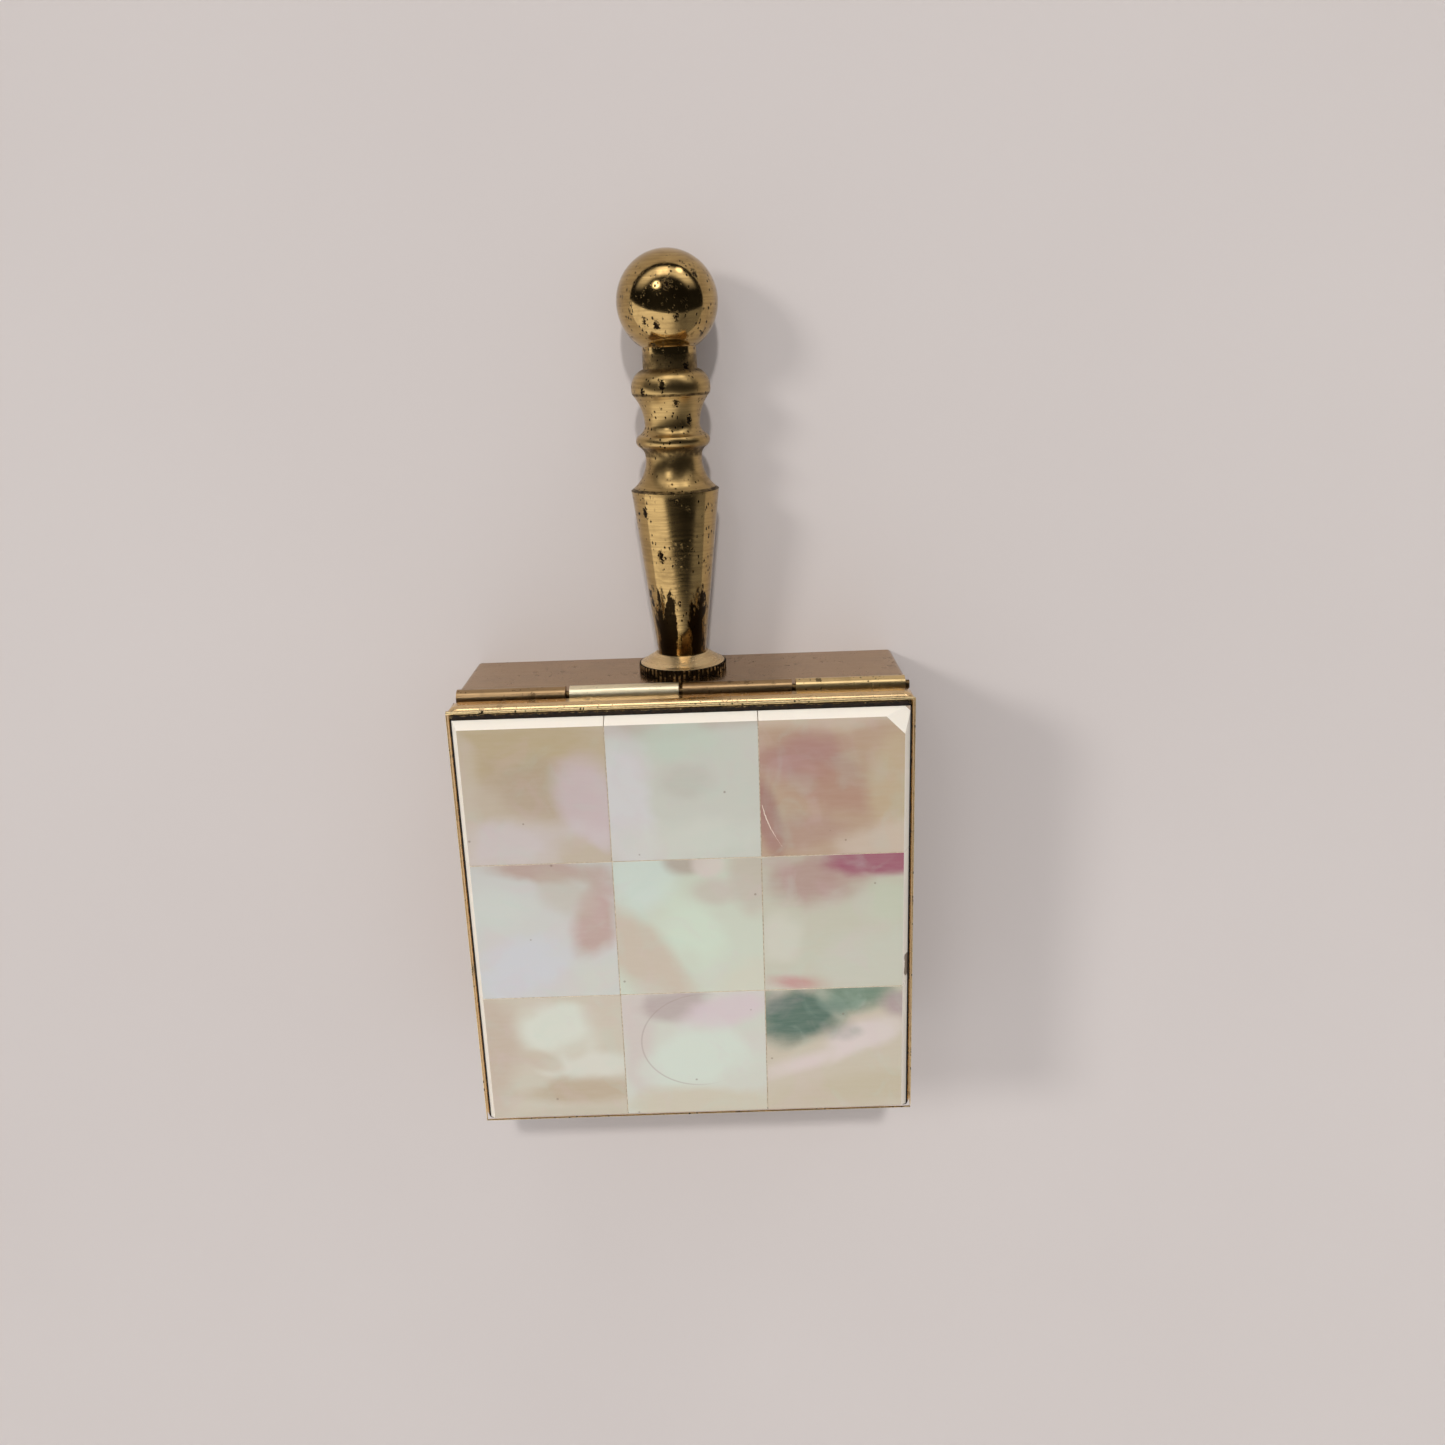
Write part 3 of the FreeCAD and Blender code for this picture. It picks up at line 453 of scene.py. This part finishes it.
def shell(name):
    """Nacre: soft coloured zones, wavy growth bands, a faint drift of hue, and a polished clear surface."""
    ground, lean, zones = TILE_LOOKS[name]
    low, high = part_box(name)
    middle = [(a + b) / 2 for a, b in zip(low, high)]
    half = (high[0] - low[0]) / 2
    # the row and the column in the tile's name give each its own part of the noise
    seed = int(name[5]) * 0.37 + int(name[7]) * 0.11
    shader = Shader(f"shell_{name}", 0.16, IOR=1.53, Coat_Weight=0.35, Coat_Roughness=0.08,
                    Subsurface_Weight=0.12, Subsurface_Radius=(1.0, 0.8, 0.6), Subsurface_Scale=0.3 * MM)

    # the shell's layers are wavy, so every zone's edge wanders
    drift = shader.noise(120, 2, 0.5, shift=(seed, seed * 2, 0), twist=0.5)
    fine_drift = shader.noise(620, 4, 0.55, (1.0, 1.4, 1.0), (seed * 3, seed, 0), turn=lean)

    def reach(x, y, length, width, turn):
        """Distance from the middle of an oval, 1 on its rim."""
        node = shader.nodes.new("ShaderNodeMapping")
        node.vector_type = "TEXTURE"
        node.inputs["Location"].default_value = (middle[0] + x * half, middle[1] + y * half, middle[2])
        node.inputs["Rotation"].default_value = (0, 0, math.radians(turn))
        node.inputs["Scale"].default_value = (length * half, width * half, 1.0)
        shader.links.new(shader.place, node.inputs["Vector"])
        far = shader.nodes.new("ShaderNodeVectorMath")
        far.operation = "LENGTH"
        shader.links.new(node.outputs["Vector"], far.inputs[0])
        return far.outputs["Value"]

    base = colour(*ground)
    for x, y, length, width, turn, tint, strength in zones:
        far = shader.plus(reach(x, y, length, width, turn), shader.band(drift, 0.25, 0.75, -0.34, 0.34))
        far = shader.plus(far, shader.band(fine_drift, 0.25, 0.75, -0.04, 0.04))
        base = shader.mix(shader.band(far, 0.45, 1.2, strength, 0.0), base, colour(*tint))
    if name in LAYER_RIMS:
        off = shader.math("ABSOLUTE", shader.math("SUBTRACT", reach(*LAYER_RIMS[name]), 1.0))
        x = shader.axes(shader.place)[0]
        faint = shader.band(x, middle[0] - 0.3 * half, middle[0] + 0.5 * half, 0.5, 0.0)
        line = shader.times(shader.band(off, 0.004, 0.02, 1.0, 0.0), faint)
        base = shader.mix(line, base, RIM_BROWN)

    # growth bands, then the pink and green drift that the thin layers give
    bands = shader.noise(2400, 5, 0.6, (0.16, 1.0, 1.0), (seed, 0, 0), 0.2, lean)
    base = shader.mix(shader.band(bands, 0.35, 0.65, 0.0, 0.05), base, BAND_PALE)
    pink = shader.band(shader.noise(210, 3, 0.5, shift=(seed, 0.3, 0), twist=1.0), 0.5, 0.7, 0.0, 0.14)
    green = shader.band(shader.noise(240, 3, 0.5, shift=(0.6, seed, 0), twist=1.0), 0.5, 0.7, 0.0, 0.14)
    base = shader.mix(pink, base, DRIFT_PINK)
    base = shader.mix(green, base, DRIFT_GREEN)
    specks = shader.times(shader.band(shader.cells(330, shift=(seed, 0.2, 0)), 0.03, 0.05, 1.0, 0.0), 0.5)
    base = shader.mix(specks, base, SPECK_BROWN)

    # a ground edge, which leans away from upright, shows the chalky side of the layers
    # it is painted paler still, as a painted highlight on the bevels
    upright = shader.facing()[2]
    edge = shader.band(upright, 0.9, 0.99, 1.0, 0.0)
    base = shader.mix(edge, base, EDGE_CHALK_AND_HIGHLIGHT)
    if name in EDGE_CHIPS:
        chip = shader.plus(reach(*EDGE_CHIPS[name]), shader.band(fine_drift, 0.3, 0.7, -0.4, 0.4))
        base = shader.mix(shader.band(chip, 0.8, 1.0, 0.85, 0.0), base, CHIP_BROWN)
    shader.paint(base)
    shader.gloss(shader.plus(shader.band(bands, 0.3, 0.7, 0.13, 0.22), shader.times(edge, 0.3)))
    waves = shader.relief(bands, 0.0012 * MM, 0.35)
    shader.relief(shader.noise(120, 2, 0.5, shift=(seed, seed, 0)), 0.06 * MM, 0.4, waves)
    return shader.material


# ---- mesh helpers ---------------------------------------------------------------------------------------

BEVEL_ANGLE = math.radians(35)


def add_piece(name, mesh, body, material, smooth=True):
    """Put a mesh in the scene as a piece that rides on a body."""
    piece = bpy.data.objects.new(name, mesh)
    bpy.context.scene.collection.objects.link(piece)
    mesh.materials.append(material)
    if smooth:
        mesh.shade_smooth()
    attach(piece, body)
    return piece


def mesh_of(name, build):
    """A mesh filled by build(bm), with its faces turned outwards."""
    bm = bmesh.new()
    build(bm)
    bmesh.ops.recalc_face_normals(bm, faces=bm.faces)
    mesh = bpy.data.meshes.new(name)
    bm.to_mesh(mesh)
    bm.free()
    return mesh


def skin(bm, rings, closed=False):
    """Faces from each ring of points to the next, and from the last to the first where it is closed."""
    following = rings[1:] + rings[:1] if closed else rings[1:]
    for one, other in zip(rings, following):
        for k in range(len(one)):
            after = (k + 1) % len(one)
            bm.faces.new((one[k], one[after], other[after], other[k]))


def set_material(node, material, bevel=0.0, segments=3):
    """Give a CAD node its material, and soften its edges by a real width."""
    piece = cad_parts[node]
    piece.material_slots[0].link = "OBJECT"
    piece.material_slots[0].material = material
    if bevel:
        modifier = piece.modifiers.new("edge_wear", "BEVEL")
        modifier.width = bevel
        modifier.segments = segments
        modifier.limit_method = "ANGLE"
        modifier.angle_limit = BEVEL_ANGLE


# ---- pestle ---------------------------------------------------------------------------------------------

PESTLE_SIDES = 160
CURVE_STEPS = 18
BALL_STEPS = 72
SHARP_ANGLE = math.radians(38)
BALL_RADIUS = 4.8 * MM
BALL_CENTRE = 35.62 * MM
NECK_RADIUS = 2.6 * MM
THREAD_PITCH = 0.8 * MM
THREAD_DEPTH = 0.3 * MM
THREAD_LEAD = 0.6 * MM
THREAD_CLEARANCE = 0.02 * MM
THREAD_STEPS = 132
TANG_END = -4.4 * MM
TANG_RADIUS = 1.75 * MM

# the longest step along a straight stretch, in mm
STRAIGHT_STEP = 0.2
# stations along the turning from the rear face, with radii, in mm: straight lines unless a curve is given,
# as its radius and the side it bulges to
PESTLE_STEPS = (
    (0.0, 1.75, 0, 0), (1.9, 1.75, 0, 0), (1.9, 2.42, 0, 0), (18.2, 4.3, 0, 0), (21.6, 2.76, 3.6, -1),
    (22.35, 3.3, 1.1, -1), (23.4, 3.35, 0.65, 1), (24.3, 2.67, 1.3, -1), (27.3, 3.74, 4.6, -1),
    (29.6, 2.6, 1.9, 1),
)


def arc_points(start, end, radius, bulge):
    """Points on the arc from start to end, without the start."""
    a, b = Vector(start), Vector(end)
    half_chord = (b - a) / 2
    across = Vector((-half_chord.y, half_chord.x)).normalized() * bulge
    centre = a + half_chord - across * math.sqrt(radius ** 2 - half_chord.length_squared)
    first = math.atan2(*(a - centre).yx)
    sweep = (b - centre).angle_signed(a - centre)
    angles = [first + sweep * i / CURVE_STEPS for i in range(1, CURVE_STEPS + 1)]
    return [centre + Vector((math.cos(angle), math.sin(angle))) * radius for angle in angles]


def pestle_profile():
    """(station, radius) pairs, in metres, from the foot almost to the far pole of the ball."""
    here = PESTLE_STEPS[0][:2]
    points = [Vector(here)]
    for station, radius, curve, bulge in PESTLE_STEPS[1:]:
        target = (station, radius)
        if curve:
            points += arc_points(here, target, curve, bulge)
        else:
            count = max(1, round(abs(station - here[0]) / STRAIGHT_STEP))
            points += [Vector(here).lerp(Vector(target), i / count) for i in range(1, count + 1)]
        here = target
    points = [p * MM for p in points]
    start = math.pi - math.asin(NECK_RADIUS / BALL_RADIUS)
    points.append(Vector((BALL_CENTRE + BALL_RADIUS * math.cos(start), NECK_RADIUS)))
    for i in range(1, BALL_STEPS):
        angle = start * (1 - i / BALL_STEPS)
        points.append(Vector((BALL_CENTRE + BALL_RADIUS * math.cos(angle), BALL_RADIUS * math.sin(angle))))
    return points


def thread_radius(station, angle):
    """The tang's radius: a V thread that leads in at its end and runs out in the turn nearest the wall."""
    turn = (station / THREAD_PITCH + angle / math.tau) % 1.0
    crest = 1 - abs(2 * turn - 1)
    lead = min(1.0, (station - TANG_END) / THREAD_LEAD)
    run_out = min(1.0, -station / THREAD_PITCH)
    depth = THREAD_DEPTH * max(0.0, run_out)
    return TANG_RADIUS - THREAD_CLEARANCE - depth * (1 - crest) - THREAD_DEPTH * (1 - lead)


def make_pestle(material, rear, level):
    """The turning, one closed skin, with a real helical thread on its tang."""
    angles = [math.tau * k / PESTLE_SIDES for k in range(PESTLE_SIDES)]

    def spot(station, radius, angle):
        return Vector((radius * math.cos(angle), rear + station, level + radius * math.sin(angle)))

    def build(bm):
        rings = []
        for i in range(THREAD_STEPS):
            station = TANG_END - TANG_END * i / THREAD_STEPS
            rings.append([bm.verts.new(spot(station, thread_radius(station, a), a)) for a in angles])
        for station, radius in pestle_profile():
            rings.append([bm.verts.new(spot(station, radius, a)) for a in angles])
        skin(bm, rings)
        for ring, station in ((rings[0], TANG_END), (rings[-1], BALL_CENTRE + BALL_RADIUS)):
            pole = bm.verts.new(spot(station, 0, 0))
            for k in range(PESTLE_SIDES):
                bm.faces.new((ring[k], ring[(k + 1) % PESTLE_SIDES], pole))

    piece = add_piece("pestle_turning", mesh_of("pestle_turning", build), "pestle", material)
    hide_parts("pestle")
    sharp = piece.modifiers.new("sharp_shoulders", "EDGE_SPLIT")
    sharp.split_angle = SHARP_ANGLE


# ---- small pieces of the lid ----------------------------------------------------------------------------

def ribbon(bm, points, widths, top, bottom):
    """A flat closed strip along points, with its own width each side of each point, between two levels."""
    rows = []
    for i, point in enumerate(points):
        ahead = points[min(i + 1, len(points) - 1)] - points[max(i - 1, 0)]
        side = Vector((-ahead.y, ahead.x)).normalized()
        left, right = point + side * widths[i][0], point - side * widths[i][1]
        corners = ((left, bottom), (left, top), (right, top), (right, bottom))
        rows.append([bm.verts.new((p.x, p.y, z)) for p, z in corners])
    skin(bm, rows)
    bm.faces.new(rows[0])
    bm.faces.new(rows[-1][::-1])


CEMENT_STEPS = 120
CEMENT_INSET = 0.8 * MM
CEMENT_FOOT = 0.05 * MM
# each side's share of the gap between two tiles
CEMENT_SHARE = (0.38, 0.5)
# how far below the tiles' faces the first joint lies, and each one more than the last, in mm
CEMENT_DROP = 0.03
CEMENT_DROP_MORE = 0.01


def make_cement_joints(material):
    """Cement in the joints between the tiles, a little below their faces and never quite straight."""
    chance = random.Random(5)
    low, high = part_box("tile_2_2")
    west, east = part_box("tile_1_1")[0][0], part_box("tile_2_3")[1][0]
    south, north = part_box("tile_3_1")[0][1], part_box("tile_1_1")[1][1]
    floor, top = low[2], high[2]
    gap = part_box("tile_2_3")[0][0] - high[0]
    lines = []
    for x in (low[0] - gap / 2, high[0] + gap / 2):
        lines.append((Vector((x, south + CEMENT_INSET)), Vector((x, north - CEMENT_INSET))))
    for y in (low[1] - gap / 2, high[1] + gap / 2):
        lines.append((Vector((west + CEMENT_INSET, y)), Vector((east - CEMENT_INSET, y))))

    def build(bm):
        for number, (start, end) in enumerate(lines):
            points = [start.lerp(end, i / CEMENT_STEPS) for i in range(CEMENT_STEPS + 1)]
            widths = [(gap * chance.uniform(*CEMENT_SHARE), gap * chance.uniform(*CEMENT_SHARE))
                      for _ in points]
            drop = (CEMENT_DROP + CEMENT_DROP_MORE * number) * MM
            ribbon(bm, points, widths, top - drop, floor + CEMENT_FOOT)

    add_piece("tile_cement", mesh_of("tile_cement", build), "lid", material, smooth=False)


# how far the dirt and painted shade spread over the rim: front, right, behind, left; widest behind the panel
DIRT_AND_SHADE_REACH = (0.12 * MM, 0.16 * MM, 0.46 * MM, 0.16 * MM)
DIRT_AND_SHADE_RAGGED = (0.62, 1.0)
DIRT_AND_SHADE_HEAP = 0.03 * MM
DIRT_AND_SHADE_INSET = 0.02 * MM
DIRT_AND_SHADE_SLOPE = 0.05 * MM
DIRT_AND_SHADE_FOOT = 0.3 * MM
DIRT_AND_SHADE_STEPS = 150


def make_dirt_and_shade(material):
    """Dirt and painted shade in the seat around the panel's foot, with a ragged outer edge on the rim."""
    chance = random.Random(11)
    seat_low, seat_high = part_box("tile_bed")
    rim_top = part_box("lid_frame")[1][2]
    foot = rim_top - DIRT_AND_SHADE_FOOT
    corners = ((seat_low[0], seat_low[1]), (seat_high[0], seat_low[1]), (seat_high[0], seat_high[1]),
               (seat_low[0], seat_high[1]))

    def build(bm):
        loops = []
        for side in range(4):
            a, b = Vector(corners[side]), Vector(corners[(side + 1) % 4])
            out = Vector(((b - a).y, -(b - a).x)).normalized()
            for i in range(DIRT_AND_SHADE_STEPS):
                along = a.lerp(b, i / DIRT_AND_SHADE_STEPS)
                ragged = DIRT_AND_SHADE_REACH[side] * chance.uniform(*DIRT_AND_SHADE_RAGGED)
                if i == 0:
                    # a corner reaches out between its two sides
                    before = Vector((out.y, -out.x))
                    near = along
                    far = along + (out - before) * ragged * 0.5
                else:
                    near = along - out * DIRT_AND_SHADE_INSET
                    far = along + out * ragged
                height = rim_top + chance.uniform(0.0, DIRT_AND_SHADE_HEAP)
                section = ((near, foot), (near, height + DIRT_AND_SHADE_SLOPE), (far, height), (far, foot))
                loops.append([bm.verts.new((p.x, p.y, z)) for p, z in section])
        skin(bm, loops, closed=True)

    add_piece("panel_dirt_and_painted_shade", mesh_of("panel_dirt_and_painted_shade", build), "lid", material)


BEAD_AWAY = 0.42 * MM
BEAD_REAR_AWAY = 0.66 * MM
BEAD_SECTIONS = 7
BEAD_SINK = 0.16 * MM
# (half width, rise) of the bead behind the panel, which is the broad one, and of the other three
REAR_BEAD = (0.19 * MM, 0.07 * MM)
PLAIN_BEAD = (0.07 * MM, 0.03 * MM)
# (from corner, to corner, steps) of each side, rear first
BEAD_SIDES = ((3, 2, 300), (2, 1, 120), (1, 0, 120), (0, 3, 120))


def make_rim_edge(material):
    """The lid's rim is burnished over along the seat: a low worn bead, dented and uneven."""
    chance = random.Random(23)
    seat_low, seat_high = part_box("tile_bed")
    rim_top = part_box("lid_frame")[1][2]
    west, east = seat_low[0] - BEAD_AWAY, seat_high[0] + BEAD_AWAY
    south, north = seat_low[1] - BEAD_AWAY, seat_high[1] + BEAD_REAR_AWAY
    corners = ((west, south), (east, south), (east, north), (west, north))

    def build(bm):
        spine = []
        for a, b, count in BEAD_SIDES:
            start, end = Vector(corners[a]), Vector(corners[b])
            spine += [(start.lerp(end, i / count), (end - start).normalized()) for i in range(count)]
        rings = []
        for point, along in spine:
            full_half, full_rise = REAR_BEAD if along.x > 0.5 else PLAIN_BEAD
            half = full_half * chance.uniform(0.72, 1.0)
            rise = full_rise * chance.uniform(0.6, 1.0)
            out = Vector((-along.y, along.x))
            ring = []
            for k in range(BEAD_SECTIONS):
                angle = math.pi * k / (BEAD_SECTIONS - 1)
                place = point + out * half * math.cos(angle)
                height = rim_top - BEAD_SINK + (rise + BEAD_SINK) * math.sin(angle)
                ring.append(bm.verts.new((place.x, place.y, height)))
            rings.append(ring)
        skin(bm, rings, closed=True)

    add_piece("rim_edge", mesh_of("rim_edge", build), "lid", material)


# the crack's ends, right of and behind the tile's front left corner, and how far it bows to the left
CRACK_START = (0.15 * MM, 5.3 * MM)
CRACK_END = (1.95 * MM, 1.0 * MM)
CRACK_BOW = 0.25 * MM
CRACK_HALF_WIDTH = 0.035 * MM
CRACK_LEAST_HALF = 0.008 * MM
CRACK_JITTER = 0.03 * MM
CRACK_PROUD = 0.002 * MM
CRACK_DEPTH = 0.05 * MM
CRACK_STEPS = 26


def make_crack(material):
    """A hairline crack in the rear right tile: a chalky thread let into its face, narrowing to the front."""
    low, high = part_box("tile_1_3")
    chance = random.Random(3)
    start, end = (Vector((low[0] + x, low[1] + y)) for x, y in (CRACK_START, CRACK_END))

    def build(bm):
        points = []
        widths = []
        for i in range(CRACK_STEPS + 1):
            share = i / CRACK_STEPS
            point = start.lerp(end, share)
            bow = CRACK_BOW * math.sin(share * math.pi)
            point.x += chance.uniform(-CRACK_JITTER, CRACK_JITTER) - bow
            points.append(point)
            half = CRACK_HALF_WIDTH * math.sin(math.pi * min(1.0, 0.15 + share)) + CRACK_LEAST_HALF
            widths.append((half, half))
        ribbon(bm, points, widths, high[2] + CRACK_PROUD, high[2] - CRACK_DEPTH)

    add_piece("tile_crack", mesh_of("tile_crack", build), "lid", material, smooth=False)


# ---- light and floor ------------------------------------------------------------------------------------

# in the room that metal mirrors, a pair of numbers is where a light begins and where it is full (or fades
# and has ended), on the direction's X, Y or Z
WINDOW_TILT = 0.45
WINDOW_SLANT = 0.11
WINDOW_EDGE = (-0.035, 0.0)
WINDOW_LIGHT = 1.3
WINDOW_DIMS = (-0.05, 0.5)
WINDOW_DIM_SHARE = 0.2
STRIP_FOOT = (0.14, 0.28)
STRIP_HEAD = (0.42, 0.62)
STRIP_SIDES = (0.3, 0.75)
STRIP_LIGHT = 1.3
STRIP_MIDDLE = -0.07
STRIP_MIDDLE_EDGE = (0.08, 0.26)
STRIP_MIDDLE_LIGHT = 2.0
ROOM_LIGHT = 0.018
DOME_LIGHT = 0.39
STUDIO_TINT = (1.0, 0.97, 0.975, 1.0)
BACKDROP = colour(206, 197, 193)
# (direction, angular radius in degrees, strength) of the two small lamps, and where each fades, in radii
LAMPS = ((Vector((-0.33, 0.57, 0.75)), 7.0, 7.0), (Vector((0.41, 0.88, 0.22)), 6.0, 3.5))
LAMP_OUTSIDE = 1.3
LAMP_INSIDE = 0.6
# (name, towards the light, spread in degrees, strength, colour) of the two lights that cast the shadows
SUNS = (("key", Vector((-0.75, 0.35, 0.6)), 11.5, 0.88, (1.0, 0.97, 0.94)),
        ("top", Vector((0.02, 0.62, 0.77)), 3.5, 1.1, (1.0, 0.97, 0.95)))
FLOOR_SIDE = 6.0
FLOOR_TONES = (colour(213, 206, 203), colour(221, 215, 212))


def make_world():
    """What metal mirrors: a dim room, a bright window wall towards -Y, a raised strip towards +Y, two lamps.

    Matt surfaces are lit by a plain dome instead, and the camera sees a plain pale backdrop.
    """
    scene_world = bpy.data.worlds.new("studio")
    bpy.context.scene.world = scene_world
    scene_world.use_nodes = True
    world = Nodes(scene_world.node_tree)
    background = world.nodes["Background"]
    direction = world.nodes.new("ShaderNodeTexCoord").outputs["Generated"]
    x, y, z = world.axes(direction)

    # the window is the half of the room towards -Y, tipped a little down, and dimmer towards +X
    sill = world.math("MULTIPLY_ADD", x, WINDOW_SLANT, world.math("MULTIPLY_ADD", z, WINDOW_TILT, y))
    window = world.times(world.band(sill, *WINDOW_EDGE, WINDOW_LIGHT, 0.0),
                         world.band(x, *WINDOW_DIMS, 1.0, WINDOW_DIM_SHARE))
    # the strip stands clear of the horizon, and is brightest in its middle
    height = world.times(world.band(z, *STRIP_FOOT), world.band(z, *STRIP_HEAD, 1.0, 0.0))
    off_middle = world.math("ABSOLUTE", world.plus(x, -STRIP_MIDDLE))
    middle = world.band(off_middle, *STRIP_MIDDLE_EDGE, STRIP_MIDDLE_LIGHT, 0.0)
    strip = world.times(world.times(height, world.band(y, *STRIP_SIDES)), world.plus(middle, STRIP_LIGHT))
    studio = world.plus(world.plus(window, strip), ROOM_LIGHT)
    for towards, radius, strength in LAMPS:
        node = world.nodes.new("ShaderNodeVectorMath")
        node.operation = "DOT_PRODUCT"
        world.links.new(direction, node.inputs[0])
        node.inputs[1].default_value = towards.normalized()
        outside, inside = (math.cos(math.radians(radius * share)) for share in (LAMP_OUTSIDE, LAMP_INSIDE))
        studio = world.plus(studio, world.band(node.outputs["Value"], outside, inside, 0.0, strength))

    path = world.nodes.new("ShaderNodeLightPath").outputs
    strength = studio
    for ray, plain in (("Is Diffuse Ray", DOME_LIGHT), ("Is Camera Ray", 1.0)):
        kept = world.times(strength, world.math("SUBTRACT", 1.0, path[ray]))
        strength = world.math("MULTIPLY_ADD", path[ray], plain, kept)
    world.feed(background.inputs["Color"], world.mix(path["Is Camera Ray"], STUDIO_TINT, BACKDROP))
    world.feed(background.inputs["Strength"], strength)


def make_lights():
    """The two suns, which metal doesn't mirror."""
    for name, towards, spread, strength, tint in SUNS:
        data = bpy.data.lights.new(name, "SUN")
        data.angle = math.radians(spread)
        data.energy = strength
        data.color = tint
        light = bpy.data.objects.new(name, data)
        bpy.context.scene.collection.objects.link(light)
        light.rotation_euler = towards.to_track_quat("Z", "Y").to_euler()
        light.visible_glossy = False


def make_floor():
    """A square of pale matt paper, faintly clouded."""
    shader = Shader("floor_paper", 0.7, Specular_IOR_Level=0.2)
    shader.paint(shader.mix(shader.noise(14, 3, 0.5), *FLOOR_TONES))
    shader.relief(shader.noise(900, 4, 0.6), 0.03 * MM, 0.2)

    def build(bm):
        half = FLOOR_SIDE / 2
        corners = ((-half, -half), (half, -half), (half, half), (-half, half))
        bm.faces.new([bm.verts.new((x, y, 0)) for x, y in corners])

    floor = bpy.data.objects.new("floor", mesh_of("floor", build))
    bpy.context.scene.collection.objects.link(floor)
    floor.data.materials.append(shader.material)


# ---- the scene ------------------------------------------------------------------------------------------

make_camera()
make_world()
make_lights()
make_floor()

metal = make_brass()
steel = make_steel()
cement = make_cement("tile_cement", colour(222, 208, 184), colour(172, 152, 124))
# seat dirt, dark enough that it is also painted shade in the gap around the panel
dirt_and_shade = make_cement("seat_dirt_and_painted_shade", colour(44, 32, 21), colour(12, 9, 7), 0.85)
crack_chalk = make_cement("crack_chalk", colour(250, 240, 224), colour(224, 202, 184))

# the last measure is the width that a node's edges are worn to
set_material("base_pan", metal["base"], 0.15 * MM)
set_material("lid_frame", metal["lid"], 0.05 * MM)
set_material("liner_tray", metal["gilt"], 0.1 * MM)
set_material("tile_bed", cement)
# knuckles 2 and 4 take the lighter brasses, painted highlights where they catch the light
for number, kind in ((1, "brown"), (2, "pale"), (3, "brown"), (4, "gold")):
    set_material(f"hinge_knuckle_{number}", metal[f"{kind}_knuckle"], 0.06 * MM)
set_material("hinge_pin", metal["pin"], 0.08 * MM)
set_material("catch_tongue", metal["gilt"], 0.06 * MM)
set_material("catch_spring", steel, 0.03 * MM)
set_material("catch_rivets", metal["gold_knuckle"], 0.1 * MM)
set_material("pestle_bush", metal["turned"], 0.1 * MM)
set_material("collar", metal["collar"], 0.03 * MM, 2)
for tile in TILE_LOOKS:
    set_material(tile, shell(tile), 0.03 * MM, 2)

collar_low, collar_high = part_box("collar")
pestle_level = (collar_low[2] + collar_high[2]) / 2
make_pestle(metal["turned"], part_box("base_pan")[1][1], pestle_level)
make_cement_joints(cement)
make_dirt_and_shade(dirt_and_shade)
# the bead's pale brass is partly a painted highlight along the rim
make_rim_edge(metal["worn"])
make_crack(crack_chalk)
